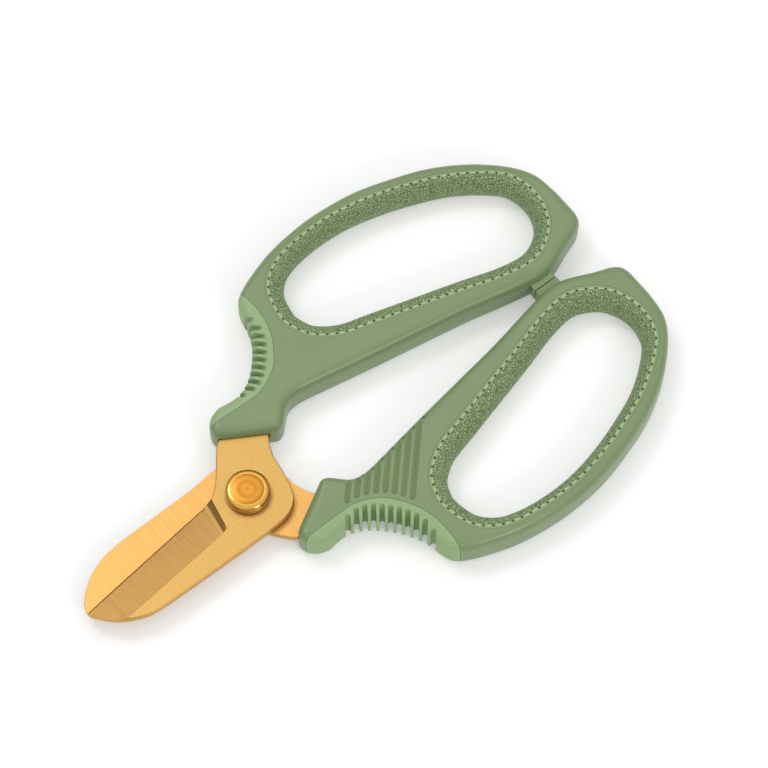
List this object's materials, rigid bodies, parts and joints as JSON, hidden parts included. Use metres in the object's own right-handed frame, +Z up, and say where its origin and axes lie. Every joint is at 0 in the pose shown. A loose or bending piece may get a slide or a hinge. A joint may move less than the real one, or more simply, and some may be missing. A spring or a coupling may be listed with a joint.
{
  "type": "floral snips",
  "caption": "Pivoted floral snips with short broad gold-coloured blades, closed finger loops with stitched soft liners and ribbed thumb pads; opens about one rivet.",
  "frame": {"origin": "centre of the underside of the bounding box, closed and lying flat", "axes": "+X towards the blade tips, +Y towards the lower half's finger loop, +Z up through the rivet head"},
  "size_m": [0.1766, 0.112, 0.0104],
  "materials": {
    "moulded_sage_plastic": "moulded, fine satin",
    "soft_pad_rubber": "soft moulded, matte",
    "leather_grain_liner": "leather-grained soft lining, stitched rim",
    "gold_coated_steel": "gold-coloured hard coating on steel, finely brushed",
    "polished_gold": "gold-coloured, polished"
  },
  "bodies": {
    "lower_half": {"lower_blade": "gold_coated_steel", "lower_handle": "moulded_sage_plastic", "lower_loop_liner": "leather_grain_liner", "lower_thumb_pad": "soft_pad_rubber", "pivot_rivet": "polished_gold", "head_washer": "gold_coated_steel", "tail_washer": "gold_coated_steel"},
    "upper_half": {"upper_blade": "gold_coated_steel", "upper_handle": "moulded_sage_plastic", "upper_loop_liner": "leather_grain_liner", "upper_thumb_pad": "soft_pad_rubber"}
  },
  "joints": [
    {"name": "blade_pivot", "type": "hinge", "parent": "lower_half", "child": "upper_half", "pos_m": [0.03435, 0, 0.0052], "axis": [0, 0, 1], "range_deg": [0, 55]}
  ]
}
